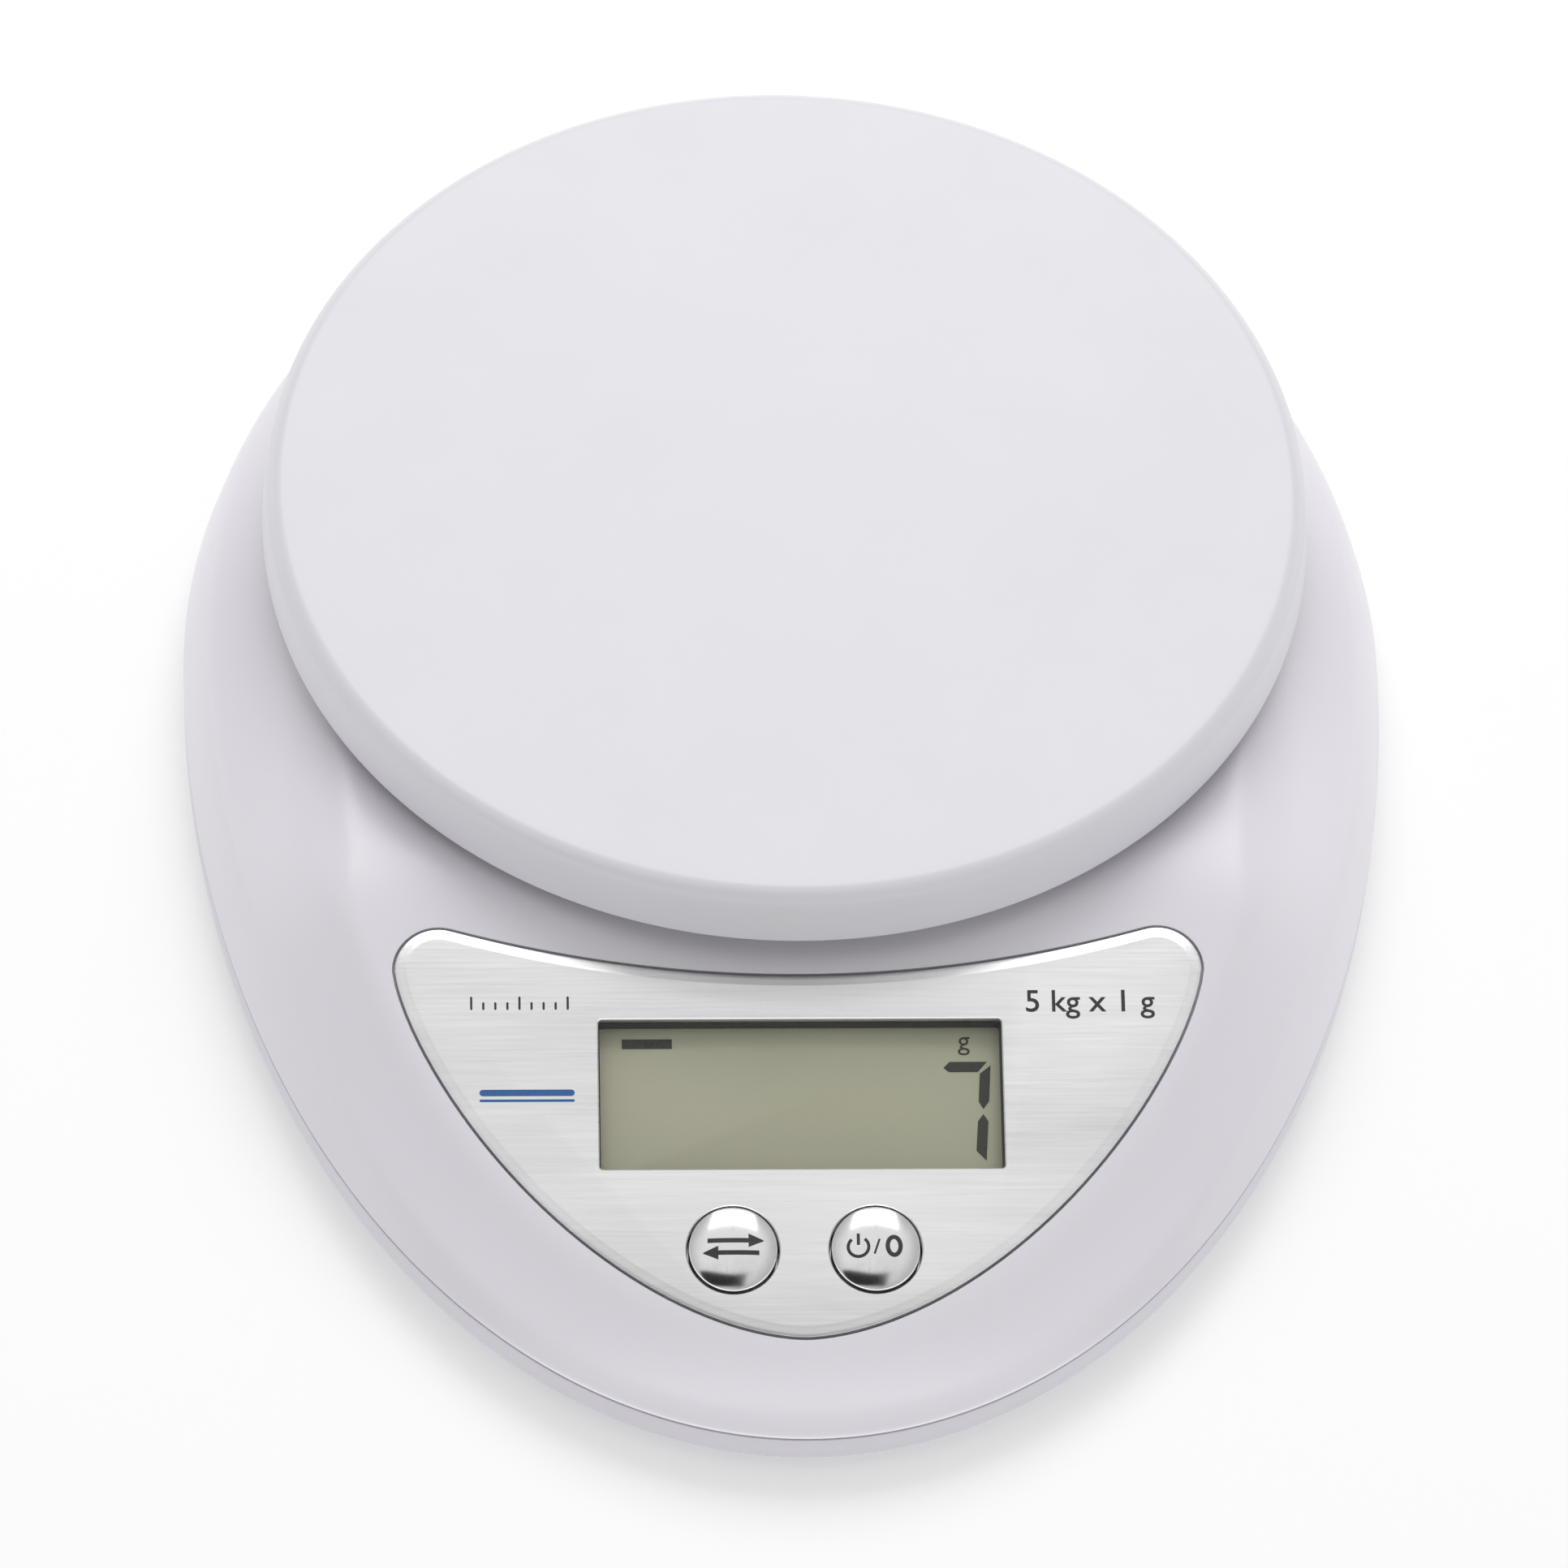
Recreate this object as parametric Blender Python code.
"""Digital platform scale: round weighing plate on a single-point load cell,
low drop-shaped housing, tilted silver face panel with display and two buttons.

Frame: +Z up, the display faces -Y, +X is the user's right.  The origin is the
bottom centre of the whole object.  Everything below is written in millimetres
and scaled to metres when the meshes are made.
"""
import math
import bpy
import bmesh
from mathutils import Matrix, Vector

MM = 0.001
GAP = 0.3                    # clearance between neighbouring pieces

# ---- housing outline -------------------------------------------------------
BODY_W = 165.0               # overall width
NOSE_B = 129.0               # half-axis of the elliptical nose
TAIL_B = 88.0                # half-axis of the rounder tail
BODY_L = NOSE_B + TAIL_B     # overall length
HALF_W = BODY_W / 2
WIDE_Y = NOSE_B - BODY_L / 2  # station of the widest point
OUT_N = 64                   # points round the outline

# ---- heights ---------------------------------------------------------------
FOOT_H = 2.0                 # housing stands this far off the table
FLOOR_T = 1.8
SEAM_Z = 7.0                 # joint between base shell and top cover
COVER_TOP = 27.2             # flat top under the plate
CREST_H = 7.2                # half-width of the rounding between the front slope and the top
NOSE_Z = 9.6                 # height of the cover just behind the nose
COVER_T = 2.5                # cover wall, measured vertically
WALL_T = 2.2                 # side walls
SHOULDER_D = 3.6             # width of the rounded shoulder over the side wall
SHOULDER_F = 0.5             # part of the height reached at the shoulder
SHOULDER_P = 1.7
BORDER_NOSE = 13.0           # width of the sloping border beside the face panel
BORDER_TAIL = 20.0           # and round the tail
BORDER_Y0, BORDER_Y1 = -38.0, 24.0

# ---- weighing plate --------------------------------------------------------
PLATE_Y = 27.6
PLATE_R = 71.5
PLATE_FLAT_R = 68.6
PLATE_TOP = 38.0
PLATE_RIM_H = 9.0
POST_R = 36.0                # four posts on this radius, on the diagonals
POST_PIN_R = 3.0

# ---- face panel, in its own tilted plane (u right, v up the slope, n out) ---
PANEL_TILT = math.radians(15.0)
PANEL_O = (0.0, -69.4, 17.0)
PANEL_HALF_W = 53.7
PANEL_TOP_R = 162.5          # radius of the hollow top edge
PANEL_TOP_V = 24.8
PANEL_CORNER_R = 5.8
PANEL_TIP_V = -25.9
PANEL_P, PANEL_Q = 1.39, 1.74
PANEL_LO, PANEL_HI = -0.9, 0.4
PANEL_BEVEL = 1.3
RECESS_N = -1.2
LCD_W, LCD_H, LCD_V = 53.6, 21.2, 8.1
BTN_U, BTN_V, BTN_R = 9.4, -13.8, 5.85
PCB_N0, PCB_N1 = -7.9, -6.7

# ---- load cell -------------------------------------------------------------
CELL_L, CELL_W, CELL_H = 47.0, 12.0, 6.0
CELL_Z = 7.8
HOLE_NEAR, HOLE_FAR = 13.0, 20.0

# ---- battery compartment (two AAA cells lying across) ------------------------
BAT_R, BAT_L = 5.2, 44.2
BAT_Y = (68.0, 79.0)
BAT_Z = 9.6
BAY_X, BAY_Y0, BAY_Y1, BAY_TOP = 27.0, 62.2, 87.0, 15.1


# ============================================================================
# materials
# ============================================================================
def material(name, rgb, rough, metal=0.0, alpha=1.0):
    m = bpy.data.materials.new(name)
    m.use_nodes = True
    b = m.node_tree.nodes["Principled BSDF"]
    b.inputs["Base Color"].default_value = (rgb[0], rgb[1], rgb[2], 1.0)
    b.inputs["Roughness"].default_value = rough
    b.inputs["Metallic"].default_value = metal
    b.inputs["Alpha"].default_value = alpha
    m.diffuse_color = (rgb[0], rgb[1], rgb[2], alpha)
    return m


# ============================================================================
# geometry helpers: each returns (vertices, faces) in millimetres
# ============================================================================
def loft(rings, caps=None):
    """Closed tube through rings of equal length.  Both ends are capped, with
    one face or with the faces given as lists of ring positions."""
    n = len(rings[0])
    v = [p for r in rings for p in r]
    f = []
    for k in range(len(rings) - 1):
        a, b = k * n, (k + 1) * n
        for i in range(n):
            j = (i + 1) % n
            f.append((a + i, a + j, b + j, b + i))
    end = (len(rings) - 1) * n
    for c in caps or [list(range(n))]:
        f.append(tuple(c[::-1]))
        f.append(tuple(end + k for k in c))
    return v, f


def prism(poly, z0, z1):
    return loft([[(x, y, z0) for x, y in poly], [(x, y, z1) for x, y in poly]])


def box(x0, x1, y0, y1, z0, z1):
    return prism([(x0, y0), (x1, y0), (x1, y1), (x0, y1)], z0, z1)


def circle(r, n, cx=0.0, cy=0.0, start=0.0):
    return [(cx + r * math.cos(start + 2 * math.pi * i / n),
             cy + r * math.sin(start + 2 * math.pi * i / n)) for i in range(n)]


def cyl(r, z0, z1, n=20, cx=0.0, cy=0.0):
    return prism(circle(r, n, cx, cy), z0, z1)


def turned(profile, n, cx=0.0, cy=0.0):
    """Solid of revolution about a vertical axis; the profile starts and ends
    off the axis and is capped flat at both ends."""
    return loft([[(cx + r * math.cos(2 * math.pi * i / n),
                   cy + r * math.sin(2 * math.pi * i / n), z) for i in range(n)]
                 for r, z in profile])


def turned_ring(profile, n, cx=0.0, cy=0.0):
    """Ring: closed profile that never meets the axis."""
    m = len(profile)
    v, f = [], []
    for i in range(n):
        a = 2 * math.pi * i / n
        for r, z in profile:
            v.append((cx + r * math.cos(a), cy + r * math.sin(a), z))
    for i in range(n):
        j = (i + 1) % n
        for k in range(m):
            l = (k + 1) % m
            f.append((i * m + k, j * m + k, j * m + l, i * m + l))
    return v, f


def moved(geo, mat):
    v, f = geo
    return [tuple(mat @ Vector(p)) for p in v], f


def rounded_rect(w, h, r, cx=0.0, cy=0.0, n=3):
    pts = []
    for sx, sy, a0 in ((1, -1, -90), (1, 1, 0), (-1, 1, 90), (-1, -1, 180)):
        for i in range(n + 1):
            a = math.radians(a0 + 90.0 * i / n)
            pts.append((cx + sx * (w / 2 - r) + r * math.cos(a),
                        cy + sy * (h / 2 - r) + r * math.sin(a)))
    return pts


def enclosed(faces):
    """Signed volume inside a closed set of faces."""
    vol = 0.0
    for f in faces:
        c = [v.co for v in f.verts]
        for i in range(1, len(c) - 1):
            vol += c[0].dot(c[i].cross(c[i + 1]))
    return vol


def build(name, geos, mat, parent=None, loc=(0, 0, 0), rot=(0, 0, 0), sharp=32.0,
          cutter=False):
    """One object out of one or more closed solids."""
    if isinstance(geos, tuple):
        geos = [geos]
    bm = bmesh.new()
    for v, f in geos:
        vs = [bm.verts.new((p[0] * MM, p[1] * MM, p[2] * MM)) for p in v]
        faces = [bm.faces.new([vs[i] for i in face]) for face in f]
        if enclosed(faces) < 0:
            bmesh.ops.reverse_faces(bm, faces=faces)
    me = bpy.data.meshes.new(name)
    bm.to_mesh(me)
    bm.free()
    me.materials.append(mat)
    me.shade_smooth()
    me.set_sharp_from_angle(angle=math.radians(sharp))
    ob = bpy.data.objects.new(name, me)
    bpy.context.scene.collection.objects.link(ob)
    ob.parent = parent
    ob.location = [c * MM for c in loc]
    ob.rotation_euler = rot
    if cutter:
        ob.hide_render = True
        ob.display_type = 'WIRE'
    return ob


def boolean(ob, tool, op):
    m = ob.modifiers.new(tool.name, 'BOOLEAN')
    m.operation = op
    m.solver = 'EXACT'
    m.object = tool
    return m


def tube(name, pts, r, mat, res=2):
    """Insulated wire or spring along a poly line of points."""
    cu = bpy.data.curves.new(name, 'CURVE')
    cu.dimensions = '3D'
    cu.bevel_depth = r * MM
    cu.bevel_resolution = res
    cu.use_fill_caps = True
    sp = cu.splines.new('POLY')
    sp.points.add(len(pts) - 1)
    for p, q in zip(sp.points, pts):
        p.co = (q[0] * MM, q[1] * MM, q[2] * MM, 1.0)
    cu.materials.append(mat)
    ob = bpy.data.objects.new(name, cu)
    bpy.context.scene.collection.objects.link(ob)
    return ob


def smooth_route(ctrl, n):
    """Catmull-Rom curve through the control points, sampled n times a span."""
    P = [Vector(c) for c in ctrl]
    P = [P[0] * 2 - P[1]] + P + [P[-1] * 2 - P[-2]]
    out = []
    for k in range(1, len(P) - 2):
        for i in range(n):
            t = i / n
            a, b, c, d = P[k - 1], P[k], P[k + 1], P[k + 2]
            out.append(0.5 * ((2 * b) + (c - a) * t + (2 * a - 5 * b + 4 * c - d) * t * t
                              + (3 * b - a - 3 * c + d) * t ** 3))
    out.append(P[-2])
    return [tuple(p) for p in out]


# ============================================================================
# shape rules shared by the shells
# ============================================================================
def outline(t, d=0.0):
    """Point of the housing outline at angle t, moved inwards by d."""
    c, s = math.cos(t), math.sin(t)
    b = TAIL_B if s >= 0 else NOSE_B
    x, y = HALF_W * c, WIDE_Y + b * s
    nx, ny = c / HALF_W, s / b
    k = math.hypot(nx, ny)
    return x - d * nx / k, y - d * ny / k


def angle_at(y, d):
    """Angle on the right side at which the outline inset by d has the station y."""
    lo, hi = -math.pi / 2, 0.0
    for _ in range(60):
        mid = (lo + hi) / 2
        if outline(mid, d)[1] < y:
            lo = mid
        else:
            hi = mid
    return (lo + hi) / 2


def stations():
    """Angles round the outline, mirrored left to right, with extra ones where
    the rounded crest meets the inner border.  Also the positions of those."""
    cuts = [angle_at(CREASE_Y + CREST_H * k / 2, BORDER_TAIL) for k in range(-2, 3)]
    step = 2 * math.pi / OUT_N
    right = [-math.pi / 2 + i * step for i in range(OUT_N // 2 + 1)]
    right = sorted([a for a in right if all(abs(a - c) > 0.45 * step for c in cuts)] + cuts)
    left = [math.pi - a for a in right[1:-1]][::-1]
    return right + left, [right.index(c) for c in cuts]


CREASE_Y = PANEL_O[1] + (COVER_TOP - PANEL_O[2]) / math.tan(PANEL_TILT)
ANGLES, CRESTS = stations()


def crest_caps():
    """Faces that close the cover's inner border: slope, rounded crest, flat top."""
    n = len(ANGLES)
    lo, hi = CRESTS[0], CRESTS[-1]
    caps = [list(range(0, lo + 1)) + list(range(n - lo, n)), list(range(hi, n - hi + 1))]
    for a, b in zip(CRESTS, CRESTS[1:]):
        caps.append([a, b, n - b, n - a])
    return caps


def out_ring(d, z):
    pts = []
    for t in ANGLES:
        x, y = outline(t, d)
        pts.append((x, y, z(x, y) if callable(z) else z))
    return pts


def soft_min(a, b, k):
    h = max(k - abs(a - b), 0.0) / k
    return min(a, b) - h * h * k / 4


def crest(y):
    """Height of the cover away from its rounded border."""
    s, e = math.tan(PANEL_TILT), y - CREASE_Y
    if e >= CREST_H:
        z = COVER_TOP
    elif e <= -CREST_H:
        z = COVER_TOP + s * e
    else:
        z = COVER_TOP - s * (CREST_H - e) ** 2 / (4 * CREST_H)
    return -soft_min(-z, -NOSE_Z, 1.2)


def border(y):
    """Width of the sloping border at station y."""
    t = min(max((y - BORDER_Y0) / (BORDER_Y1 - BORDER_Y0), 0.0), 1.0)
    return BORDER_NOSE + (BORDER_TAIL - BORDER_NOSE) * t * t * (3 - 2 * t)


def edge_fraction(d, y):
    """Part of the crest height reached at the distance d inside the outline:
    a rounded shoulder, then a straight slope up to the crest."""
    w = border(y)
    if d >= w:
        return 1.0
    m = (1 - SHOULDER_F) / (w - SHOULDER_D)
    return m * d + (SHOULDER_F - m * SHOULDER_D) * (1 - (1 - min(d / SHOULDER_D, 1.0)) ** SHOULDER_P)


def cover_z(x, y):
    """Height of the cover's outer surface over the point x, y."""
    d = min(math.hypot(x - p, y - q) for p, q in
            (outline(2 * math.pi * i / 720) for i in range(720)))
    z0 = SEAM_Z + GAP
    return z0 + (crest(y) - z0) * edge_fraction(d, y)


def boss_top(x, y):
    """Top of a case boss, under the cover's outer surface all the way round."""
    return min(cover_z(x + p, y + q) for p, q in circle(3.9, 12)) - 0.8


def panel_half(n_side, n_fil, n_top):
    """Right half of the face panel's outline, bottom tip to top centre."""
    uc = PANEL_HALF_W - PANEL_CORNER_R
    s = uc / PANEL_TOP_R
    vw = PANEL_TOP_V + uc * uc / (2 * PANEL_TOP_R) - PANEL_CORNER_R * math.sqrt(1 + s * s)
    pts = []
    for i in range(n_side):
        t = math.sin(math.pi / 2 * (n_side - i) / n_side)
        u = PANEL_HALF_W * max(0.0, 1 - t ** PANEL_P) ** (1 / PANEL_Q)
        pts.append((u, vw + (PANEL_TIP_V - vw) * t))
    turn = math.pi / 2 + math.atan(s)
    for i in range(n_fil + 1):
        a = turn * i / n_fil
        pts.append((uc + PANEL_CORNER_R * math.cos(a), vw + PANEL_CORNER_R * math.sin(a)))
    u1 = pts[-1][0]
    for i in range(1, n_top):
        u = u1 * (1 - i / n_top)
        pts.append((u, PANEL_TOP_V + u * u / (2 * PANEL_TOP_R)))
    return pts


def panel_outline(off=0.0, n_side=14, n_fil=4, n_top=5):
    """Counter-clockwise outline, moved outwards by off."""
    half = panel_half(n_side, n_fil, n_top)
    loop = half + [(0.0, PANEL_TOP_V)] + [(-u, v) for u, v in half[:0:-1]]
    n = len(loop)
    out = []
    for i in range(n):
        (ax, ay), (bx, by) = loop[i - 1], loop[(i + 1) % n]
        tx, ty = bx - ax, by - ay
        k = math.hypot(tx, ty)
        out.append((loop[i][0] + off * ty / k, loop[i][1] - off * tx / k))
    return out


def on_panel(u, v, n):
    c, s = math.cos(PANEL_TILT), math.sin(PANEL_TILT)
    return (PANEL_O[0] + u, PANEL_O[1] + v * c - n * s, PANEL_O[2] + v * s + n * c)


PANEL_M = (Matrix.Translation(Vector(PANEL_O))
           @ Matrix.Rotation(PANEL_TILT, 4, 'X'))
PANEL_ROT = (PANEL_TILT, 0, 0)

# fastener stations
CASE_XY = [(-64.0, -8.0), (64.0, -8.0), (-57.0, 66.0), (57.0, 66.0)]
FOOT_XY = [(-44.0, -58.0), (44.0, -58.0), (-48.0, 76.0), (48.0, 76.0)]
PCB_UV = [(-35.0, 17.5), (35.0, 17.5), (-24.0, -13.8), (24.0, -13.8)]
POST_XY = [(POST_R * math.cos(a), PLATE_Y + POST_R * math.sin(a))
           for a in (math.radians(45 + 90 * k) for k in range(4))]


def screw(name, mat, head_r, head_h, shank_r, length, parent=None, loc=(0, 0, 0),
          rot=(0, 0, 0), n=10):
    """Pan head at the origin pointing down -Z, shank rising along +Z."""
    prof = [(head_r * 0.55, -head_h), (head_r * 0.9, -head_h * 0.75), (head_r, -head_h * 0.3),
            (head_r, 0.0), (shank_r, 0.0), (shank_r, length - shank_r), (shank_r * 0.35, length)]
    ob = build(name, turned(prof, n), mat, parent, loc, rot)
    return ob


# ============================================================================
def make():
    for o in list(bpy.data.objects):
        bpy.data.objects.remove(o, do_unlink=True)

    white = material("white_abs", (0.80, 0.79, 0.83), 0.28)
    white_in = material("natural_abs", (0.72, 0.72, 0.72), 0.45)
    silver = material("silver_panel", (0.72, 0.72, 0.72), 0.24, 0.85)
    clear = material("clear_pane", (0.95, 0.97, 0.97), 0.05, 0.0, 0.25)
    lcd = material("lcd_grey_green", (0.36, 0.37, 0.27), 0.30)
    dark = material("dark_frame", (0.05, 0.05, 0.055), 0.5)
    zebra = material("zebra_rubber", (0.75, 0.45, 0.45), 0.6)
    pcb = material("pcb_green", (0.05, 0.22, 0.09), 0.4)
    epoxy = material("black_epoxy", (0.015, 0.015, 0.015), 0.35)
    chrome = material("chrome_button", (0.80, 0.80, 0.80), 0.12, 1.0)
    steel = material("steel_screw", (0.60, 0.60, 0.58), 0.3, 1.0)
    alu = material("aluminium_cell", (0.70, 0.71, 0.72), 0.35, 1.0)
    sealant = material("white_sealant", (0.85, 0.85, 0.83), 0.5)
    rubber = material("grey_rubber", (0.16, 0.16, 0.16), 0.8)
    nickel = material("nickel_contact", (0.66, 0.65, 0.60), 0.28, 1.0)
    cell_m = material("battery_wrap", (0.10, 0.12, 0.14), 0.35)
    wires = {"red": (0.55, 0.02, 0.02), "black": (0.02, 0.02, 0.02),
             "white": (0.80, 0.80, 0.78), "green": (0.03, 0.30, 0.08)}
    wm = {k: material("wire_" + k, c, 0.45) for k, c in wires.items()}

    # ---- base shell --------------------------------------------------------
    fl = FOOT_H + FLOOR_T
    rings = [out_ring(1.6, FOOT_H), out_ring(0.45, FOOT_H + 0.45), out_ring(0.0, FOOT_H + 1.6),
             out_ring(0.0, SEAM_Z), out_ring(WALL_T, SEAM_Z), out_ring(WALL_T + 0.3, fl)]
    base = build("base_shell", loft(rings), white)

    adds = [box(-8, 8, PLATE_Y + HOLE_NEAR - 5, PLATE_Y + HOLE_FAR + 5, fl - 0.8, 5.2),
            cyl(4.2, fl - 0.8, 5.9, 16, 0, PLATE_Y - 16.5)]
    for x, y in CASE_XY:
        adds.append(cyl(4.6, fl - 0.8, 9.2, 12, x, y))
    adds.append(box(-BAY_X - 1.5, BAY_X + 1.5, BAY_Y0 - 1.5, BAY_Y1 + 1.5, fl - 0.8,
                    BAY_TOP + 1.5))
    # corner pads under the circuit board
    base_add = build("base_bosses", adds, white, cutter=True)

    cuts = [box(-BAY_X, BAY_X, BAY_Y0, BAY_Y1, FOOT_H + 0.9, BAY_TOP)]
    cuts2 = [box(-BAY_X - 0.9, BAY_X + 0.9, BAY_Y0 - 0.9, BAY_Y1 + 0.9, FOOT_H - 1, FOOT_H + 2.1)]
    # thumb notch beside the lid
    notch = [(moved(turned([(0.5, -6.0), (4.5, -3.0), (6.0, 0.0), (6.0, 1.5)], 16),
                       Matrix.Translation((0, BAY_Y1 + 4.0, FOOT_H - 0.4))
                       @ Matrix.Rotation(math.pi, 4, 'X')
                       @ Matrix.Diagonal((1, 1, 0.22, 1))))]
    for x, y in FOOT_XY:
        cuts.append(cyl(6.3, FOOT_H - 1, FOOT_H + 0.8, 16, x, y))
    for x, y in CASE_XY:
        cuts.append(turned([(3.4, FOOT_H - 1), (3.4, 4.6), (1.7, 4.6), (1.7, 11.0)], 12, x, y))
    for yy in (HOLE_NEAR, HOLE_FAR):
        cuts.append(turned([(3.3, FOOT_H - 1), (3.3, 4.1), (2.3, 4.1), (2.3, 7.0)], 14, 0,
                           PLATE_Y + yy))
    cuts.append(cyl(1.9, FOOT_H - 1, 8.0, 12, 0, PLATE_Y - 16.5))
    for sy in BAT_Y:
        cuts2.append(box(BAY_X - 0.5, BAY_X + 2.5, sy - 2.0, sy + 2.0, 12.0, 13.2))
    base_cut = build("base_cuts", cuts, white, cutter=True)
    base_cut2 = build("base_lid_seat", cuts2, white, cutter=True)
    boolean(base, base_add, 'UNION')
    boolean(base, base_cut, 'DIFFERENCE')
    boolean(base, base_cut2, 'DIFFERENCE')
    boolean(base, build("base_notch", notch, white, cutter=True), 'DIFFERENCE')

    # ---- top cover ---------------------------------------------------------
    z0 = SEAM_Z + GAP

    def outer(d):
        return lambda x, y: z0 + (crest(y) - z0) * edge_fraction(d, y)

    def inner(d):
        e = max(d - WALL_T, 0.0) * BORDER_TAIL / (BORDER_TAIL - WALL_T)
        return lambda x, y: z0 + (crest(y) - COVER_T - z0) * edge_fraction(e, y)

    rings = []
    for d in (BORDER_TAIL, BORDER_NOSE, 8.0, 4.6, 3.0, 1.6, 0.6):
        rings.append(out_ring(d, outer(d)))
    rings.append(out_ring(0.0, z0))
    for d in (WALL_T, WALL_T + 0.8, WALL_T + 2.2, WALL_T + 5.0, 14.0, BORDER_TAIL):
        rings.append(out_ring(d, inner(d)))
    cover = build("top_cover", loft(rings, crest_caps()), white)

    adds = []
    for x, y in CASE_XY:
        adds.append(cyl(3.9, 9.7, boss_top(x, y), 12, x, y))
    for u, v in PCB_UV:
        adds.append(moved(cyl(2.8, PCB_N1 + 0.3, -1.6, 14, u, v), PANEL_M))
    cover_add = build("cover_bosses", adds, white, cutter=True)

    cuts = [moved(prism(panel_outline(GAP + 0.1), RECESS_N, 9.0), PANEL_M)]
    cuts2 = [moved(prism(rounded_rect(LCD_W + 0.8, LCD_H + 0.8, 0.6, 0, LCD_V, 1),
                         -6.0, 2.0), PANEL_M)]
    for u in (-BTN_U, BTN_U):
        cuts2.append(moved(cyl(BTN_R + 0.45, -6.0, 2.0, 24, u, BTN_V), PANEL_M))
    for x, y in CASE_XY:
        cuts2.append(cyl(1.65, 9.0, boss_top(x, y) - 1.5, 12, x, y))
    for u, v in PCB_UV:
        cuts2.append(moved(cyl(1.35, -8.0, -2.0, 10, u, v), PANEL_M))
    for x, y in POST_XY:
        cuts2.append(cyl(5.6, 18.0, 30.0, 16, x, y))
    cover_cut = build("cover_panel_recess", cuts, white, cutter=True)
    cover_cut2 = build("cover_holes", cuts2, white, cutter=True)
    boolean(cover, cover_add, 'UNION')
    boolean(cover, cover_cut, 'DIFFERENCE')
    boolean(cover, cover_cut2, 'DIFFERENCE')

    # ---- face panel and display --------------------------------------------
    rings = []
    for off, n in ((0.0, PANEL_LO), (0.0, -0.2), (-PANEL_BEVEL, PANEL_HI)):
        rings.append([(u, v, n) for u, v in panel_outline(off)])
    panel = build("face_panel", loft(rings), silver, None, PANEL_O, PANEL_ROT, 20.0)
    cuts = [prism(rounded_rect(LCD_W, LCD_H, 0.5, 0, LCD_V, 1), -3, 3)]
    for u in (-BTN_U, BTN_U):
        cuts.append(cyl(BTN_R + 0.3, -3, 3, 28, u, BTN_V))
    panel_cut = build("panel_openings", cuts, silver, None, PANEL_O, PANEL_ROT, cutter=True)
    boolean(panel, panel_cut, 'DIFFERENCE')

    build("display_window", prism(rounded_rect(LCD_W - 0.6, LCD_H - 0.6, 0.4, 0, LCD_V, 1),
                                  -0.8, 0.0), clear, None, PANEL_O, PANEL_ROT)
    build("lcd_glass", prism(rounded_rect(58.0, 25.4, 0.5, 0, LCD_V, 1), -4.9, -2.8), lcd,
          None, PANEL_O, PANEL_ROT)
    fo = rounded_rect(62.0, 29.4, 1.5, 0, LCD_V, 2)
    holder = build("lcd_holder", prism(fo, PCB_N1 + 0.3, -2.8), dark, None, PANEL_O, PANEL_ROT)
    hc = build("lcd_holder_pocket", prism(rounded_rect(58.6, 26.0, 0.6, 0, LCD_V, 1), -9, 0),
               dark, None, PANEL_O, PANEL_ROT, cutter=True)
    boolean(holder, hc, 'DIFFERENCE')
    build("zebra_strip", box(-26, 26, LCD_V - 12.2, LCD_V - 10.0, PCB_N1 + 0.3, -5.2), zebra,
          None, PANEL_O, PANEL_ROT)

    # ---- circuit board, chip, switches -------------------------------------
    poly = [(-30, -18), (30, -18), (38, -6), (38, 22), (-38, 22), (-38, -6)]
    board = build("main_pcb", prism(poly, PCB_N0, PCB_N1), pcb, None, PANEL_O, PANEL_ROT)
    cuts = [cyl(1.35, PCB_N0 - 2, PCB_N1 + 2, 12, u, v) for u, v in PCB_UV]
    bc = build("pcb_holes", cuts, pcb, None, PANEL_O, PANEL_ROT, cutter=True)
    boolean(board, bc, 'DIFFERENCE')
    build("chip_blob", turned([(6.0, -0.3), (6.0, -0.7), (4.6, -1.5), (2.0, -1.9)], 12), epoxy,
          None, on_panel(10, 6, PCB_N0), PANEL_ROT)
    for k, (u, v) in enumerate(PCB_UV):
        screw("pcb_screw_%d" % (k + 1), steel, 2.3, 1.3, 1.0, 5.0, None,
              on_panel(u, v, PCB_N0 - 0.3), PANEL_ROT, 8)

    for key, u in (("unit", -BTN_U), ("power_tare", BTN_U)):
        n0 = PCB_N1 + 0.3
        sw = build(key + "_switch", box(-3, 3, -3, 3, 0.0, 2.0), dark, None,
                   on_panel(u, BTN_V, n0), PANEL_ROT)
        sc = build(key + "_switch_bore", cyl(1.95, 0.3, 4, 14), dark, None,
                   on_panel(u, BTN_V, n0), PANEL_ROT, cutter=True)
        boolean(sw, sc, 'DIFFERENCE')
        btn = build(key + "_button",
                    turned([(1.6, -3.6), (BTN_R + 0.9, -3.6), (BTN_R + 0.9, -2.8), (BTN_R, -2.8),
                            (BTN_R, 0.5), (5.3, 1.0), (3.6, 1.45), (1.2, 1.7)],
                           24), chrome, None, on_panel(u, BTN_V, 0), PANEL_ROT, 40)
        build(key + "_plunger", cyl(1.65, -5.4, -3.9, 14), white_in, btn)

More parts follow.
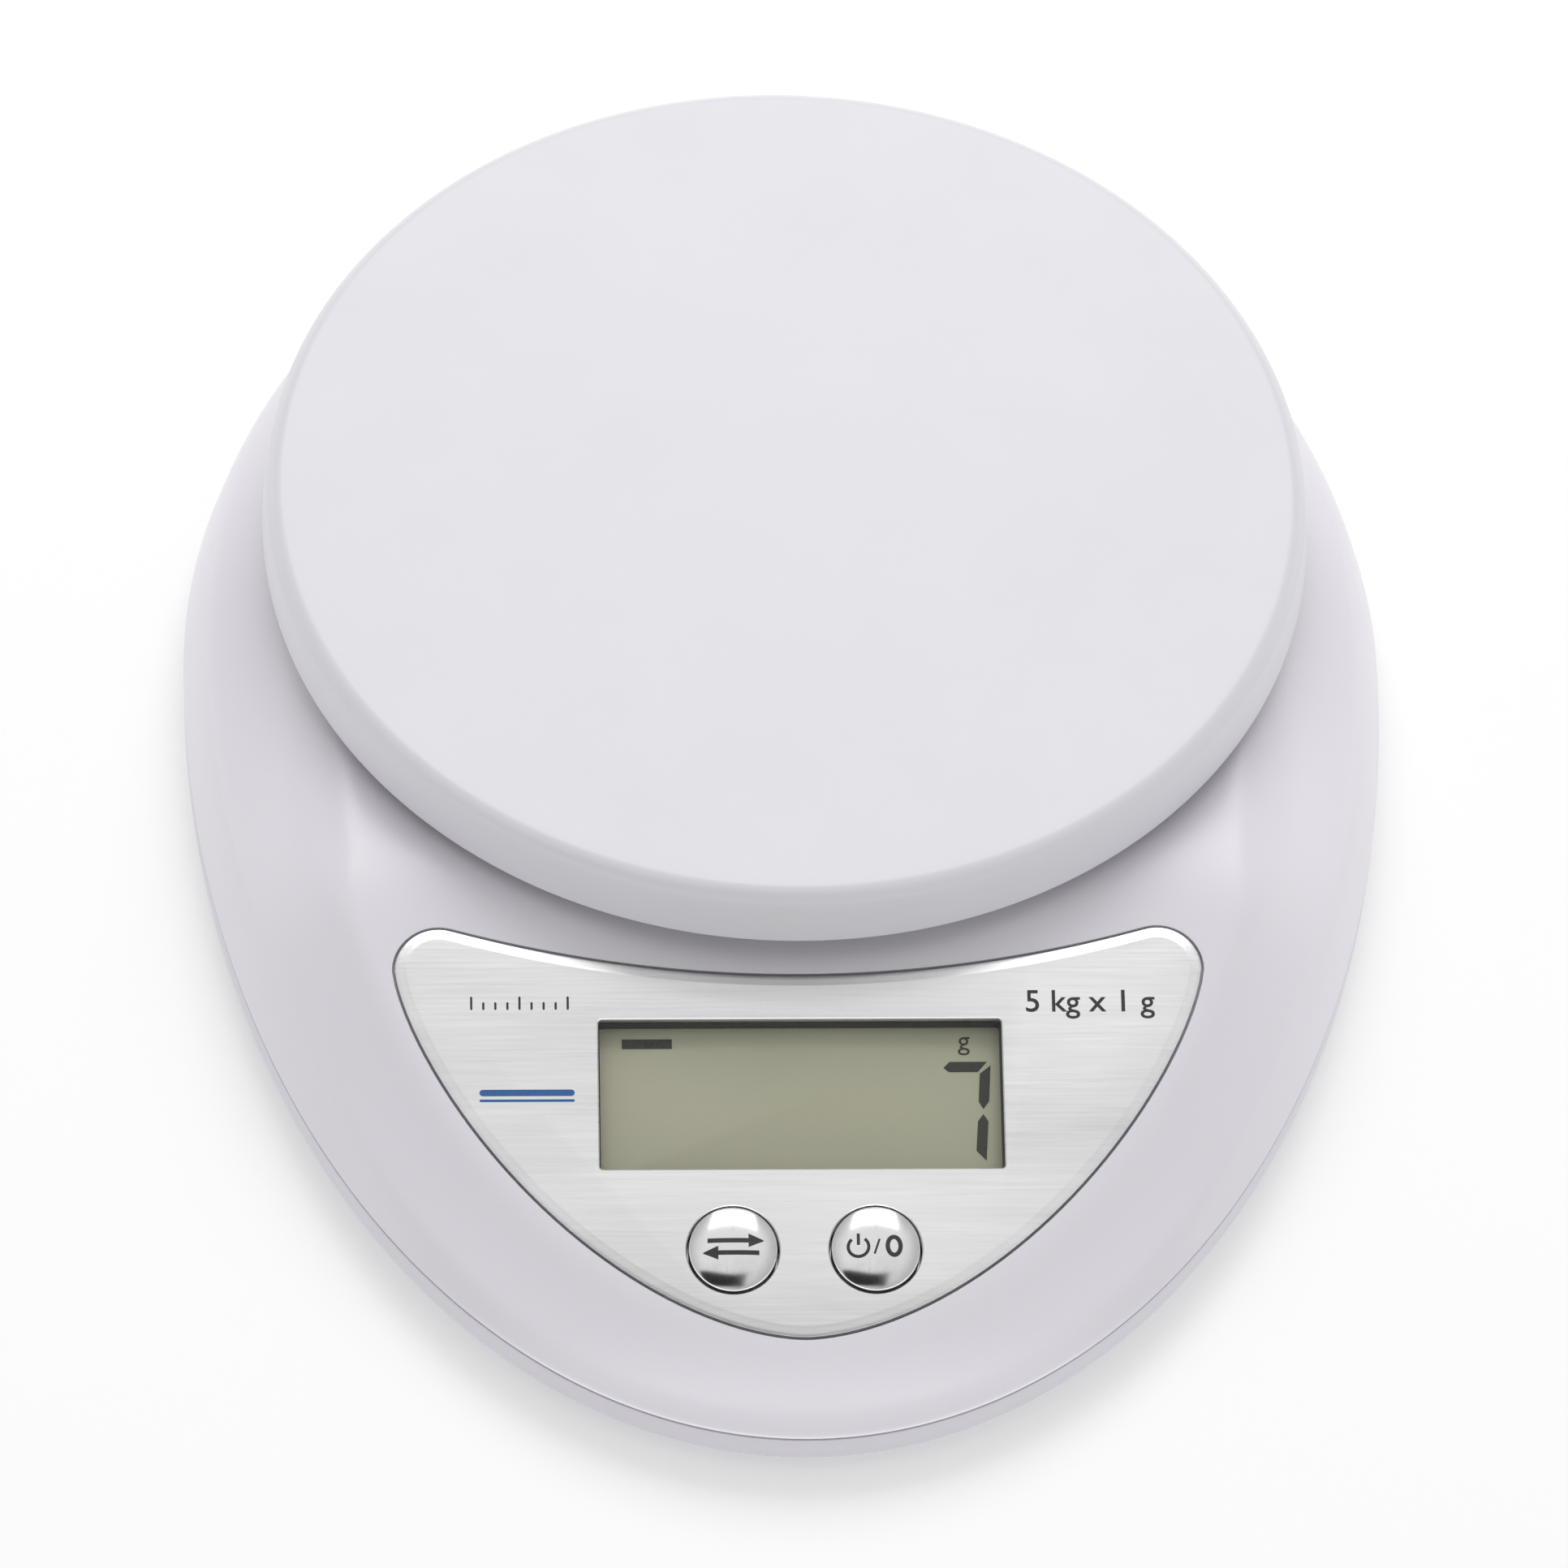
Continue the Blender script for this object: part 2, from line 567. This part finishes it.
    # ---- weighing plate, posts, carrier ------------------------------------
    top, rim = PLATE_TOP, PLATE_TOP - PLATE_RIM_H
    prof = [(0.6, top), (PLATE_FLAT_R, top)]
    fr = PLATE_R - PLATE_FLAT_R - 0.5
    for k in range(1, 4):
        a = math.pi / 2 * k / 3.5
        prof.append((PLATE_FLAT_R + fr * math.sin(a), top - fr * (1 - math.cos(a))))
    prof += [(PLATE_R, rim + 0.4), (PLATE_R - 0.4, rim), (PLATE_R - 2.0, rim),
             (PLATE_R - 3.4, top - 3.6), (PLATE_R - 5.0, top - 2.8),
             (0.6, top - 2.8)]
    plate = build("weighing_plate", turned(prof, 60, 0, PLATE_Y), white)
    adds = []
    for x, y in POST_XY:
        adds.append(turned_ring([(POST_PIN_R + 0.35, 29.7), (5.2, 29.7), (5.2, top - 2.0),
                                 (POST_PIN_R + 0.35, top - 2.0)], 14, x, y))
    adds.append(turned_ring([(52.0, 32.6), (53.4, 32.6), (53.6, top - 2.0), (51.8, top - 2.0)],
                            36, 0, PLATE_Y))
    plate_add = build("plate_sockets", adds, white, cutter=True)
    boolean(plate, plate_add, 'UNION')

    hub = 16.4
    arm, reach = 4.6, POST_R + 4.6
    plus = []
    for k in range(4):
        a = math.radians(45 + 90 * k)
        ca, sa = math.cos(a), math.sin(a)
        for p, q in ((reach - 1.8, -arm), (reach, -arm + 1.8), (reach, arm - 1.8),
                     (reach - 1.8, arm), (arm + 6.0, arm)):
            plus.append((p * ca - q * sa, PLATE_Y + p * sa + q * ca))
        b = a + math.pi / 2
        plus.append(((arm + 6.0) * math.cos(b) + arm * math.sin(b),
                     PLATE_Y + (arm + 6.0) * math.sin(b) - arm * math.cos(b)))
    carrier = build("plate_carrier", prism(plus, hub, hub + 3.0), white_in)
    adds = [box(-8.5, 8.5, PLATE_Y - HOLE_FAR - 4.5, PLATE_Y - 3.0, hub + 0.1, hub + 2.9)]
    for x, y in POST_XY:
        adds.append(turned([(4.4, hub + 1.0), (4.4, 29.1), (4.1, 29.4), (POST_PIN_R, 29.4),
                            (POST_PIN_R, 33.4), (POST_PIN_R - 0.7, 34.2)], 14, x, y))
    carrier_add = build("carrier_posts", adds, white_in, cutter=True)
    boolean(carrier, carrier_add, 'UNION')
    cc = build("carrier_holes", [cyl(2.3, hub - 2, hub + 6, 14, 0, PLATE_Y - h)
                                 for h in (HOLE_NEAR, HOLE_FAR)], white_in, cutter=True)
    boolean(carrier, cc, 'DIFFERENCE')

    # ---- load cell and its stack -------------------------------------------
    cell = build("load_cell", box(-CELL_W / 2, CELL_W / 2, PLATE_Y - CELL_L / 2,
                                  PLATE_Y + CELL_L / 2, CELL_Z, CELL_Z + CELL_H), alu)
    across = Matrix.Translation((-10, PLATE_Y, CELL_Z + CELL_H / 2)) @ \
        Matrix.Rotation(math.pi / 2, 4, 'Y')
    slot = []
    for i in range(9):
        a = math.radians(-130 + 260 * i / 8)
        slot.append((2.2 * math.sin(a), 5.6 + 2.2 * math.cos(a)))
    dumb = [(x, y) for x, y in slot] + [(-x, -y) for x, y in slot]
    cuts = [moved(prism(dumb, 0, 20), across)]
    for h in (HOLE_NEAR, HOLE_FAR):
        for sgn in (-1, 1):
            cuts.append(cyl(2.3, CELL_Z - 2, CELL_Z + CELL_H + 2, 14, 0, PLATE_Y + sgn * h))
    lc = build("load_cell_holes", cuts, alu, cutter=True)
    boolean(cell, lc, 'DIFFERENCE')
    ctop = CELL_Z + CELL_H
    build("gauge_sealant", prism(rounded_rect(10.5, 14.0, 2.5, 0, PLATE_Y, 3), ctop + GAP,
                                 ctop + GAP + 0.9), sealant)
    for nm, sgn, za, zb in (("lower_spacer", 1, 5.2 + GAP, CELL_Z - GAP),
                            ("upper_spacer", -1, ctop + GAP, hub - GAP)):
        yc = PLATE_Y + sgn * (HOLE_NEAR + HOLE_FAR) / 2
        sp = build(nm, prism(rounded_rect(12.0, 15.0, 1.0, 0, yc, 2), za, zb), alu)
        scut = build(nm + "_holes", [cyl(2.3, za - 2, zb + 2, 14, 0, PLATE_Y + sgn * h)
                                     for h in (HOLE_NEAR, HOLE_FAR)], alu, cutter=True)
        boolean(sp, scut, 'DIFFERENCE')
    for k, h in enumerate((HOLE_NEAR, HOLE_FAR)):
        screw("cell_base_screw_%d" % (k + 1), steel, 3.0, 1.5, 2.0, 9.0, None,
              (0, PLATE_Y + h, 3.8))
        screw("cell_carrier_screw_%d" % (k + 1), steel, 3.3, 1.5, 2.0, 10.5, None,
              (0, PLATE_Y - h, hub + 3.0 + GAP), (math.pi, 0, 0))
    build("overload_stop_screw", turned([(0.8, FOOT_H + 0.6), (1.5, FOOT_H + 1.0), (1.5, 7.2),
                                         (1.1, CELL_Z - 0.35)], 12, 0, PLATE_Y - 16.5), steel)

    # ---- battery compartment ------------------------------------------------
    for k, y in enumerate(BAT_Y):
        sgn = 1 if k == 0 else -1
        prof = [(2.6, -BAT_L / 2), (BAT_R - 0.5, -BAT_L / 2), (BAT_R, -BAT_L / 2 + 0.5),
                (BAT_R, BAT_L / 2 - 1.3), (BAT_R - 0.5, BAT_L / 2 - 0.8), (1.9, BAT_L / 2 - 0.8),
                (1.9, BAT_L / 2 - 0.2), (1.6, BAT_L / 2)]
        build("battery_%d" % (k + 1), turned(prof, 16), cell_m, None, (0, y, BAT_Z),
              (0, math.pi / 2 * sgn, 0))
    xc = BAY_X - 0.3
    for nm, y in (("battery_contact_plus", BAT_Y[0]), ("battery_contact_minus", BAT_Y[1])):
        pl = build(nm, box(xc - 0.4, xc, y - 3.8, y + 3.8, 5.2, 14.0), nickel)
        tab = build(nm + "_tab", box(xc - 0.2, xc + 3.6, y - 1.5, y + 1.5, 12.4, 12.8), nickel,
                    cutter=True)
        boolean(pl, tab, 'UNION')
    build("battery_bridge_contact", box(-xc, -xc + 0.4, BAT_Y[0] - 3.8, BAT_Y[1] + 3.8, 5.2, 14.0),
          nickel)

    def spring(name, x_plate, x_cell, y):
        turns, per = 3.0, 9
        n = int(turns * per)
        pts = []
        for i in range(n + 1):
            a = 2 * math.pi * i / per
            f = i / n
            r = 3.3 - 1.3 * f
            pts.append((x_plate + (x_cell - x_plate) * f, y + r * math.cos(a),
                        BAT_Z + r * math.sin(a)))
        tube(name, pts, 0.3, nickel, 1)

    spring("battery_spring_minus", xc - 1.0, BAT_L / 2 + 0.65, BAT_Y[1])
    spring("battery_spring_bridge", -xc + 1.0, -BAT_L / 2 - 0.65, BAT_Y[0])

    hinge_y = BAY_Y0 - 0.6
    lid_w = BAY_X + 0.6
    lid = build("battery_cover", [prism([(-lid_w, 0), (lid_w, 0), (lid_w, BAY_Y1 - BAY_Y0 + 1.2),
                                         (-lid_w, BAY_Y1 - BAY_Y0 + 1.2)], 0.0, 1.5)],
                white, None, (0, hinge_y, FOOT_H))
    latch = build("battery_cover_latch", [box(-5, 5, BAY_Y1 - hinge_y - 1.9, BAY_Y1 - hinge_y - 0.9,
                                              0.8, 4.6)], white, None, (0, hinge_y, FOOT_H),
                  cutter=True)
    boolean(lid, latch, 'UNION')

    # ---- feet and case screws ----------------------------------------------
    for k, (x, y) in enumerate(FOOT_XY):
        build("foot_%d" % (k + 1), turned([(5.4, 0.0), (6.0, 0.5), (6.0, FOOT_H + 0.5)], 16, x, y),
              rubber)
    for k, (x, y) in enumerate(CASE_XY):
        screw("case_screw_%d" % (k + 1), steel, 3.0, 1.6, 1.35, 12.0, None, (x, y, 4.3))

    # ---- wiring --------------------------------------------------------------
    for k, key in enumerate(("red", "black", "green", "white")):
        lane = 16.0 - 1.7 * k
        u = 18.0 - 3.0 * k
        end = on_panel(u, 18.5, PCB_N0 - 0.35)
        up = on_panel(u, 18.5, PCB_N0 - 3.0)
        y = PLATE_Y + 4.2 - 2.4 * k
        route = [(6.9, y, 12.0), (lane - 2.0, y - 2.2, 10.8), (lane, y - 9.0, 8.4),
                 (lane, 0.0, 7.0), (lane + 0.6, -25.0, 7.0), (u, -41.5, 8.6), up, end]
        tube("sensor_wire_" + key, smooth_route(route, 2), 0.5, wm[key])
    for key, y, u in (("red", BAT_Y[0], 26.0), ("black", BAT_Y[1], 29.5)):
        end = on_panel(u, 13.0 if key == "red" else 9.0, PCB_N0 - 0.35)
        up = on_panel(u, 13.0 if key == "red" else 9.0, PCB_N0 - 3.0)
        dx = 0.0 if key == "red" else 2.2
        route = [(xc + 4.5, y, 12.6), (34.0 + dx, y - 3.0, 11.0), (38.0 + dx, 50.0, 6.2),
                 (42.0 + dx, 25.0, 5.4), (40.0 + dx, -5.0, 5.4), (u + 4.0, -36.0, 6.6), up, end]
        tube("battery_wire_" + key, smooth_route(route, 2), 0.6, wm[key])


make()
